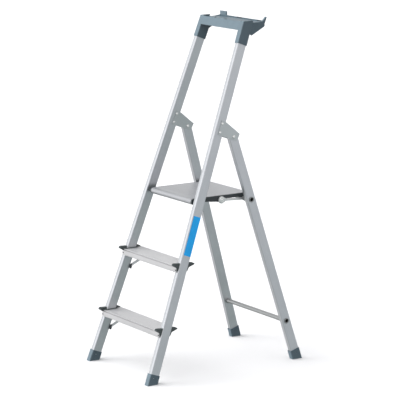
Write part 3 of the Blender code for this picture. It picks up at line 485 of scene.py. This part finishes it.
def build_stile_fasteners(side, sign):
    """The rivets of the hinge bracket and the tray's socket, and the rear leg's hinge pin."""
    for label, (back, up) in BRACKET_RIVETS.items():
        place = STILE[side] @ Matrix.Translation((0, back, up)) @ ALONG_X
        profile = through_rivet(0.0054, RIVET_SHANK, 0.0020, BRACKET_SEAT, 0.0014)
        add_fastener(f"bracket_rivet_{label}_{side}", profile, place)
    place = REAR @ Matrix.Translation((sign * HINGE_X, 0, 0)) @ ALONG_X
    profile = through_rivet(0.0064, 0.0040, 0.0024, BRACKET_SEAT + GAP, 0.0018)
    add_fastener(f"hinge_pin_{side}", profile, place, 48)
    place = STILE[side] @ Matrix.Translation((0, STILE_DEPTH, TRAY_RIVET_UP)) @ ALONG_Y
    profile = blind_rivet(0.0045, RIVET_SHANK, 0.0018, TRAY_RIVET_SEAT, -0.0050, 0.0013)
    add_fastener(f"tray_rivet_{side}", profile, place)


def build_brace_rivet(level, side):
    """The rivet into a brace, with its head on the back of the tread's rear flange."""
    node = f"brace_rivet_{level}_{side}"
    middle = middle_of(node)
    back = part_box(f"tread_{level}")[1][1] + GAP
    place = Matrix.Translation((middle.x, back, middle.z)) @ ALONG_Y
    add_fastener(node, blind_rivet(0.0036, BRACE_SHANK, 0.0015, 0, -0.0044, 0.0011), place)


def build_platform_pivot(side, sign):
    """Pin and grooved bush between the stile and the deck's end."""
    outward = Matrix.Rotation(sign * pi / 2, 4, "Y")
    edge = 0.0006
    for node, slot, finish in ((f"platform_pin_{side}", "zinc_plated_steel", "steel"),
                               (f"platform_bush_{side}", "black_plastic", "black")):
        low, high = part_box(node)
        start, end = sorted((abs(low[0]), abs(high[0])))
        radius = (high[2] - low[2]) / 2
        middle = middle_of(node)
        place = Matrix.Translation((0, middle.y, middle.z)) @ outward
        ring = "bush" in node
        inner = BUSH_BORE if ring else 0
        profile = [(inner, end), *arc((radius - edge, end - edge), edge, 90, 0, 3)]
        if ring:
            waist, half, depth = (start + end) / 2, 0.0012, 0.0009
            profile += [(radius, waist + half), (radius - depth, waist), (radius, waist - half)]
        profile += [*arc((radius - edge, start + edge), edge, 0, -90, 3), (inner, start)]
        mesh = lathe(profile, place, 48, ring)
        add_piece(f"{node}_turned", mesh, body_of(node), (finish,), (node,))


# Cross tubes.
TUBE_RADIUS = 0.00875
TUBE_BORE = 0.0074
TUBE_BEAD = 0.0113
TUBE_LIP = 0.0008
BEAD_REACH = 0.0115


def tube_profile(inside, outside):
    """Half a cross tube: the mouth of its hole, the lip outside the leg, the bead and cone inside."""
    end = outside + TUBE_LIP
    tube = [(TUBE_BORE, end), *arc((TUBE_BORE + TUBE_LIP, end), TUBE_LIP, 180, 90, 3)[1:]]
    tube += arc((TUBE_BEAD - TUBE_LIP, end), TUBE_LIP, 90, -90, 6)
    tube += [(TUBE_RADIUS, outside)]
    cone = ((TUBE_RADIUS, 0), (TUBE_BEAD - 0.0008, 0), (TUBE_BEAD, 0.0008), (TUBE_BEAD, 0.0012),
            (TUBE_BEAD - 0.0004, 0.0030), (TUBE_RADIUS + 0.0012, 0.0100),
            (TUBE_RADIUS + 0.0003, 0.0160), (TUBE_RADIUS, 0.0200), (TUBE_RADIUS, 0.0240))
    return tube + [(radius, inside - inward) for radius, inward in cone]


def build_crossbar(level):
    """Fluted tube with a swaged bead inside each leg and a rolled lip outside it."""
    node = f"crossbar_{level}"
    middle = middle_of(node)
    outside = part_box(node)[1][0] - 2 * TUBE_LIP
    inside = outside - LEG_WIDTH - 2 * (BEAD_REACH * tan(FLARE) + GAP)
    tube = tube_profile(inside, outside)
    mirrored = [(radius, -height) for radius, height in tube[::-1]]
    place = Matrix.Translation((0, middle.y, middle.z)) @ ALONG_X
    flutes = (inside - 0.0220, 0.0007)
    mesh = lathe(tube + mirrored, place, 60, True, flutes)
    # Faces inside the bore get painted shade (material 1); the ends outside the legs get steel (material
    # 2).
    for face in mesh.polygons:
        offset = face.center - middle
        if Vector((0, offset.y, offset.z)).length < TUBE_BORE * 1.02:
            face.material_index = 1
        elif abs(offset.x) > outside:
            face.material_index = 2
    add_piece(f"{node}_fluted", mesh, "rear_frame",
              ("tube", "bore", "steel"), (node,))


# Treads.
TREAD_DEPTH = 0.0865
TREAD_PLATE = 0.0034
TREAD_OVERHANG = 0.0136
TREAD_RIBS = 13
FURROW_HALF = 0.0017
FURROW_DEPTH = 0.0012
REAR_FLANGE_DROP = 0.038
WEBS = (0.067, 0.034)
GROOVE_TOP = 0.0047
GROOVE_BOTTOM = 0.0065
GROOVE_DEPTH = 0.0040
FLANGE_REACH = 0.0150
REAR_REACH = 0.0130
NOTCH_FRONT = 0.0027
NOTCH_REAR = 0.0605
HOLE_INSET = 0.0050
HOLE_DROP = 0.0180
FLANGE_HOLE = 0.0035
BRACE_HOLE = 0.0021


def tread_outline():
    """Side view of a tread from its front top edge: ribs, rear flange, webs, front flange."""
    nose, edge, thin, web = 0.0022, 0.0014, 0.0020, 0.0009
    points = arc((nose, -nose), nose, 180, 90, 5)
    pitch = (TREAD_DEPTH - 0.0085) / TREAD_RIBS
    for i in range(TREAD_RIBS):
        middle = 0.0050 + pitch * (i + 0.35)
        points += [(middle - FURROW_HALF * cos(pi * k / 6), -FURROW_DEPTH * sin(pi * k / 6))
                   for k in range(7)]
    points += arc((TREAD_DEPTH - edge, -edge), edge, 90, 0, 4)
    points += arc((TREAD_DEPTH - thin / 2, -REAR_FLANGE_DROP + thin / 2), thin / 2, 0, -180, 6)
    points += [(TREAD_DEPTH - thin, -TREAD_PLATE)]
    for middle in WEBS:
        points += [(middle + web, -TREAD_PLATE)]
        points += arc((middle, -0.0111), web, 0, -180, 4)
        points += [(middle - web, -TREAD_PLATE)]
    points += [(0.0056, -TREAD_PLATE), (0.0056, -0.0080), (0.0024, -0.0094), (0.0024, -0.0251)]
    points += arc((0.0060, -0.0260), web, 90, -90, 4)
    points += arc((0.0012, -0.0257), 0.0012, 270, 180, 4)
    points += [(0, -GROOVE_BOTTOM - 0.0005), (0.0005, -GROOVE_BOTTOM - 0.0001)]
    points += [(GROOVE_DEPTH, -GROOVE_BOTTOM), (GROOVE_DEPTH, -GROOVE_TOP)]
    points += [(0.0004, -GROOVE_TOP + 0.0001)]
    return points[::-1]


def tread_cuts(level, low, high):
    """The notches round the stiles, the ends of the rear flange and the holes in both flanges."""
    front, rear, top = low.y, high.y, high.z
    inside = high.x - FLANGE_REACH
    behind = TREAD_OVERHANG + STILE_DEPTH / cos(LEAN_FRONT)
    plate_end = inside - (behind * sin(LEAN_FRONT)) * tan(FLARE) - 0.0036
    cuts = []
    for side, sign in SIDES.items():
        rivet = middle_of(f"brace_rivet_{level}_{side}")
        spans = ((plate_end, (NOTCH_FRONT, NOTCH_REAR), (-0.06, 0.01)),
                 (inside + REAR_REACH, (NOTCH_REAR - 0.001, 0.1), (-0.07, 0.02)),
                 (abs(rivet.x) + 0.0054, (TREAD_DEPTH - 0.004, 0.11), (-0.08, -TREAD_PLATE)))
        for start, (near, far), (down, up) in spans:
            left, right = sorted((sign * start, sign * 0.3))
            cuts.append(box((left, front + near, top + down), (right, front + far, top + up)))
        holes = ((high.x - HOLE_INSET, front, top - HOLE_DROP, FLANGE_HOLE),
                 (abs(rivet.x), rear, rivet.z, BRACE_HOLE))
        for across, y, z, radius in holes:
            place = Matrix.Translation((sign * across, y, z)) @ ALONG_Y
            cuts.append(rod(radius, 0.01, -0.01, place))
    return cuts


def build_tread(level):
    """A ribbed extrusion with a groove along its front flange, and its two saddles."""
    node = f"tread_{level}"
    low, high = (Vector(corner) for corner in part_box(node))
    place = Matrix.Translation((0, low.y, high.z)) @ SIDEWAYS
    mesh = prism([tread_outline()], -high.x, high.x, place)
    mesh = combined(mesh, "DIFFERENCE", tread_cuts(level, low, high))

    def in_groove(point):
        """Whether a point is on the groove's walls, behind its lips, which get painted shade."""
        back, down = point.y - low.y, high.z - point.z
        behind_lips = 0.0006 < back < GROOVE_DEPTH + 0.0001
        return behind_lips and GROOVE_TOP - 0.0002 < down < GROOVE_BOTTOM + 0.0001

    # The groove's walls are coloured near-black as painted shade.
    give_second_finish(mesh, in_groove)
    add_piece(f"{node}_ribbed", mesh, "front_frame", ("across", "bore"), (node,))
    for side, sign in SIDES.items():
        build_tread_cap(level, side, sign, low.y, high.z, high.x)


def build_tread_cap(level, side, sign, front, top, flange_end):
    """Moulded saddle with a hollowed front lug and a peg, coloured with painted shade, that shows in the
    flange's hole.
    """
    hollow = ((0.0086, -0.0020), (0.0086, -0.0112), (0.0114, -0.0157), (0.0146, -0.0157),
              (0.0176, -0.0114), (0.0172, -0.0020))
    inside = flange_end - FLANGE_REACH
    outline = [(sign * (inside + x), front + y) for x, y in hollow]
    cuts = [prism([outline[::sign]], top + 0.0050, top + 0.03)]
    piece = rework(f"tread_cap_{level}_{side}", "saddle", (), cuts, 0.0006)
    profile = [(0, 0.0010), (0.0024, 0.0010), (0.0032, 0.0016), (0.0032, 0.0034), (0, 0.0034)]
    place = Matrix.Translation((sign * (flange_end - HOLE_INSET), front, top - HOLE_DROP))
    peg = lathe(profile, place @ ALONG_Y, 32)
    # The whole peg gets painted shade, so the flange's hole reads dark.
    give_second_finish(peg)
    piece.data = joined(piece.data, peg)
    for finish in ("saddle", "bore"):
        piece.data.materials.append(MATERIALS[finish])


# Links and their rivets.
LINK_ARM_HALF = 0.0046
LINK_EYE = 0.01325
LINK_HOLE = 0.00925
LINK_BOSS = 0.0145
LINK_SPREAD = 24
LINK_RIB = (0.0018, 0.0007)


def link_outline(bar, knee, lean):
    """Side view of a link: an eye on the cross tube, an arm that spreads at its ends, a boss."""
    turn = degrees(lean)
    at_eye = degrees(asin(LINK_ARM_HALF / LINK_EYE)) + LINK_SPREAD
    at_boss = degrees(asin(LINK_ARM_HALF / LINK_BOSS)) + LINK_SPREAD
    eye, boss = Vector((bar.y, bar.z)), Vector((knee.y, knee.z))
    along = Vector((cos(lean), sin(lean)))
    flank = Vector((-sin(lean), cos(lean))) * LINK_ARM_HALF
    near, far = eye + along * (LINK_EYE + 0.008), boss - along * (LINK_BOSS + 0.007)
    outline = arc(eye, LINK_EYE, turn + at_eye, turn + 360 - at_eye, 40)
    outline += [tuple(near - flank), tuple(far - flank)]
    outline += arc(boss, LINK_BOSS, turn + 180 + at_boss, turn + 540 - at_boss, 48)
    outline += [tuple(far + flank), tuple(near + flank)]
    return outline


def build_link(side, sign):
    """Flat bar with a stepped boss at the knee and an eye round the upper cross tube."""
    node = f"platform_link_{side}"
    bar, knee = middle_of("crossbar_upper"), middle_of(f"link_rivet_{side}")
    lean = atan2(knee.z - bar.z, knee.y - bar.y)
    low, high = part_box(node)
    start, end = sorted((low[0], high[0]))
    outer = max(abs(start), abs(end))
    hole = arc((bar.y, bar.z), LINK_HOLE, 0, 360, 40)[:-1]
    plate = prism([link_outline(bar, knee, lean), hole[::-1]], start, end, SIDEWAYS)

    reach = Vector((knee.y - bar.y, knee.z - bar.z)).length
    half, height = LINK_RIB
    rib = rounded((LINK_EYE + 0.009, -half), (reach - LINK_BOSS - 0.007, half), half - 0.0001)
    tilt = Matrix.Translation((0, bar.y, bar.z)) @ Matrix.Rotation(lean, 4, "X")
    span = sorted((sign * (outer - 0.001), sign * (outer + height)))
    raised = prism([rib], *span, tilt @ SIDEWAYS)
    add_piece(f"{node}_pressed", joined(plate, raised), f"link_{side}",
              ("bright",), (node,), 0.0005)
    build_link_rivet(side, sign, knee, outer + GAP)


def build_link_rivet(side, sign, knee, top):
    """A large stepped head at the knee pivot, with a shank behind it."""
    node = f"link_rivet_{side}"
    low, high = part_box(node)
    seat = min(abs(low[0]), abs(high[0]))
    steps = ((0, 0.0032), (0.0022, 0.0031), (0.0040, 0.0025), (0.0048, 0.0012), (0.0058, 0.0010),
             (0.0062, 0.0015))
    profile = [(radius, top + height) for radius, height in steps]
    profile += arc((0.0098, top + 0.0001), 0.0017, 90, 0, 4) + [(0.0115, top)]
    profile += [(RIVET_SHANK, top), (RIVET_SHANK, seat), (0, seat)]
    place = Matrix.Translation((0, knee.y, knee.z)) @ Matrix.Rotation(sign * pi / 2, 4, "Y")
    add_fastener(node, profile, place, 56)


# Label.
LABEL = ((0.0050, 0.5270), (0.0380, 0.6860))
LABEL_LINES = ((0.0185, 0.5400, 0.6730), (0.0250, 0.5400, 0.6400))


def build_label():
    """Plain film with two pale lines along it and no lettering."""
    start = STILE_WIDTH / 2 + GAP
    place = STILE["right"] @ SIDEWAYS
    film = prism([rounded(*LABEL, 0.002, 6)], start, start + 0.0004, place)
    lines = []
    for across, low, high in LABEL_LINES:
        strip = rounded((across - 0.0013, low), (across + 0.0013, high), 0.0012)
        lines.append(prism([strip], start + 0.0002, start + 0.0006, place))
        give_second_finish(lines[-1])
    add_piece("side_label_film", joined(film, *lines), "front_frame",
              ("label", "print"), ("side_label",), 0.0001)


# Feet.
CHEEK = 0.0134
DIMPLE = 0.0030


def build_foot(node, place):
    """Moulded shoe with soft edges and a locating dimple on each cheek."""
    middle = place.inverted() @ middle_of(node)
    spot = Matrix.Translation((0, middle.y, middle.z + 0.003))
    ball = [(DIMPLE * sin(pi * i / 8), -DIMPLE * cos(pi * i / 8)) for i in range(9)]
    cuts = []
    for sign in SIDES.values():
        cheek = place @ spot @ Matrix.Translation((sign * CHEEK, 0, 0)) @ ALONG_X
        cuts.append(lathe(ball, cheek, 24))
    rework(node, "plastic", (), cuts, 0.0014)


# Tool tray.
TRAY_FLOOR = 1.3768
TRAY_RIM = 1.381
TRAY_REAR = 0.2295
TRAY_WALL = 0.0028
TRAY_FRONT = FOOT_LINE + TRAY_RIM * tan(LEAN_FRONT)
TRAY_RIB_HALF = 0.0009
RECESSES = ((-0.097, TRAY_FRONT + 0.032, 0.0055), (-0.020, TRAY_FRONT + 0.030, 0.0082))
RECESS_DEPTH = 0.0018
SLOTS = (((-0.036, TRAY_REAR - 0.006, 1.3785), (0.002, TRAY_REAR - 0.0010, 1.3820)),
         ((0.106, TRAY_REAR - 0.006, 1.3771), (0.146, TRAY_REAR - 0.0018, 1.3788)))


def tray_ribs():
    """The bead along the rear rim and the ribs both ways below the floor."""
    ribs = [box((-0.1535, TRAY_REAR - TRAY_WALL - 0.0008, 1.3792), (0.1535, TRAY_REAR + 0.0010, 1.3806))]
    for x in (-0.100, -0.050, 0, 0.050, 0.100):
        ribs.append(box((x - TRAY_RIB_HALF, TRAY_FRONT + 0.004, TRAY_FLOOR - 0.0090),
                        (x + TRAY_RIB_HALF, TRAY_REAR - 0.001, TRAY_FLOOR - 0.0020)))
    for y in (TRAY_FRONT + 0.030, TRAY_FRONT + 0.062):
        ribs.append(box((-0.1500, y - TRAY_RIB_HALF, TRAY_FLOOR - 0.0085),
                        (0.1500, y + TRAY_RIB_HALF, TRAY_FLOOR - 0.0019)))
    return ribs


def tray_cuts():
    """A pocket in each tower's top, the round recesses in the floor and the rear wall's slots."""
    cuts = []
    for sign in SIDES.values():
        left, right = sorted((sign * 0.1300, sign * 0.1460))
        cuts.append(box((left, TRAY_FRONT + 0.0026, 1.3800), (right, TRAY_FRONT + 0.0060, 1.3950)))
    for x, y, radius in RECESSES:
        cuts.append(rod(radius, 0.02, -RECESS_DEPTH, Matrix.Translation((x, y, TRAY_FLOOR)), 40))
    return cuts + [box(near, far) for near, far in SLOTS]


def in_recess(point):
    """Whether a point is on a recess's wall or floor, where painted shade goes."""
    if not TRAY_FLOOR - RECESS_DEPTH - 0.0001 < point.z < TRAY_FLOOR - 0.0001:
        return False
    return any((point - Vector((x, y, point.z))).length < radius + 0.0002 for x, y, radius in RECESSES)


def in_slot(point):
    """Whether a point is on a slot's wall, behind the face of the rear wall, where painted shade goes."""
    if point.y <= TRAY_REAR - 0.0027:
        return False
    return any(all(a - 0.0001 < p < b + 0.0001 for a, p, b in zip(near, point, far))
               for near, far in SLOTS)


def build_tray():
    """The tray with its rear bead, ribs, pockets, recesses and slots, with painted shade in the recesses
    and slots.
    """
    piece = rework("tool_tray", "plastic", tray_ribs(), tray_cuts(), 0.0007)
    piece.data.materials.append(MATERIALS["bore"])
    # The faces of the recesses and slots are coloured near-black as painted shade.
    give_second_finish(piece.data, lambda point: in_recess(point) or in_slot(point))


def finish_nodes():
    """Materials and rounded edges on the CAD nodes."""
    for name, node in NODES.items():
        node.data.materials.clear()
        node.data.materials.append(finish_of(name))
        round_edges(node, 0.0008 if name.startswith("hinge_bracket") else 0.0005)


finish_nodes()
for side, sign in SIDES.items():
    build_stile_fasteners(side, sign)
    for level in ("lower", "upper"):
        build_brace_rivet(level, side)
    build_platform_pivot(side, sign)
for level in ("lower", "upper"):
    build_crossbar(level)
    build_tread(level)
for side, sign in SIDES.items():
    build_link(side, sign)
build_label()
for side in SIDES:
    build_foot(f"front_foot_{side}", STILE[side])
    build_foot(f"rear_foot_{side}", LEG[side])
build_tray()


# Studio.
CAMERA_PLACE = (6.8069, -4.5324, 2.2506)
CAMERA_AZIMUTH = radians(56.194)
CAMERA_ELEVATION = radians(11.007)
CAMERA_LENS = 186.8
FLOOR_SIZE = 60
KEY_LIGHT = (-0.45, -0.80, 0.45)


def build_floor():
    """A pale matt floor that takes shadow, and that neither lights nor shows in the ladder."""
    mesh = bpy.data.meshes.new("studio_floor")
    shape = bmesh.new()
    bmesh.ops.create_grid(shape, x_segments=1, y_segments=1, size=FLOOR_SIZE)
    shape.to_mesh(mesh)
    shape.free()
    floor = bpy.data.objects.new("studio_floor", mesh)
    bpy.context.scene.collection.objects.link(floor)
    matt = {"Base Color": (0.54, 0.54, 0.545, 1), "Roughness": 0.9, "Specular IOR Level": 0.0}
    mesh.materials.append(material("studio_floor", matt)[0])
    floor.visible_glossy = False
    floor.visible_diffuse = False


def build_world():
    """White to the camera, light from the front left on matt surfaces, a studio in reflections."""
    world = bpy.data.worlds.new("studio")
    bpy.context.scene.world = world
    graph = Graph(world)
    ray = graph.node("ShaderNodeLightPath")
    where = graph.node("ShaderNodeTexCoord").outputs["Generated"]
    height = graph.node("ShaderNodeSeparateXYZ", Vector=where).outputs["Z"]
    level = graph.node("ShaderNodeMapRange", Value=height)
    level.inputs["From Min"].default_value = -1
    level = level.outputs["Result"]
    room = graph.ramp(level, (0.0, (0.26, 0.30, 0.29)), (1.0, 0.95), (0.30, (0.32, 0.37, 0.36)),
                      (0.37, (0.40, 0.455, 0.445)), (0.46, (0.76, 0.78, 0.83)), (0.52, 0.86),
                      (0.60, 0.80))
    window = graph.ramp(level, (0.0, 0.62), (1.0, 1.0), (0.32, 0.85), (0.42, 1.0), (0.55, 0.95))
    matt = graph.ramp(level, (0.0, (0.13, 0.13, 0.13)), (1.0, (1.45, 1.45, 1.47)),
                      (0.48, (0.38, 0.39, 0.41)), (0.56, (0.85, 0.86, 0.88)))

    def aimed(toward, start, end):
        """How far a direction lies inside a soft cone, from 0 to 1."""
        along = graph.node("ShaderNodeVectorMath", operation="DOT_PRODUCT")
        graph.feed(along.inputs[0], where)
        graph.feed(along.inputs[1], Vector(toward).normalized())
        cone = graph.node("ShaderNodeMapRange", Value=along.outputs["Value"],
                          interpolation_type="SMOOTHSTEP")
        cone.inputs["From Min"].default_value = start
        cone.inputs["From Max"].default_value = end
        return cone.outputs["Result"]

    def blend(factor, first, second):
        """The first colour at a factor of 0, the second at 1."""
        made = graph.node("ShaderNodeMix", data_type="RGBA", Factor=factor)
        graph.feed(made.inputs[6], first)
        graph.feed(made.inputs[7], second)
        return made.outputs[2]

    reflected = blend(aimed((-0.75, -0.65, 0), 0.35, 0.80), room, window)
    reflected = blend(aimed((-0.60, -0.78, 0.22), 0.86, 0.97), reflected, (1.35, 1.36, 1.38, 1))
    matt = blend(aimed((-0.45, -0.85, 0.30), 0.30, 0.80), matt, (3.9, 3.9, 3.9, 1))
    fill = blend(ray.outputs["Is Glossy Ray"], matt, reflected)
    seen = blend(ray.outputs["Is Camera Ray"], fill, (1, 1, 1, 1))
    background = graph.node("ShaderNodeBackground", Color=seen, Strength=1.0)
    out = graph.node("ShaderNodeOutputWorld")
    graph.feed(out.inputs["Surface"], background.outputs["Background"])


def build_light(name, toward, strength, angle):
    """A soft sun that shines from the given direction on matt surfaces only."""
    lamp = bpy.data.lights.new(name, "SUN")
    lamp.energy = strength
    lamp.angle = radians(angle)
    holder = bpy.data.objects.new(name, lamp)
    holder.rotation_euler = Vector(toward).to_track_quat("Z", "Y").to_euler()
    holder.visible_glossy = False
    bpy.context.scene.collection.objects.link(holder)


def build_camera():
    """Long lens at the viewing angle, aimed along its own direction."""
    camera = bpy.data.cameras.new("camera")
    camera.sensor_width = 36
    camera.lens = CAMERA_LENS
    camera.clip_end = 200
    holder = bpy.data.objects.new("camera", camera)
    holder.location = CAMERA_PLACE
    level = cos(CAMERA_ELEVATION)
    back = Vector((sin(CAMERA_AZIMUTH) * level, -cos(CAMERA_AZIMUTH) * level, sin(CAMERA_ELEVATION)))
    holder.rotation_euler = (-back).to_track_quat("-Z", "Y").to_euler()
    bpy.context.scene.collection.objects.link(holder)
    bpy.context.scene.camera = holder


build_floor()
build_world()
build_light("key_light", KEY_LIGHT, 1.6, 40)
build_camera()
bpy.context.scene.view_settings.view_transform = "Standard"
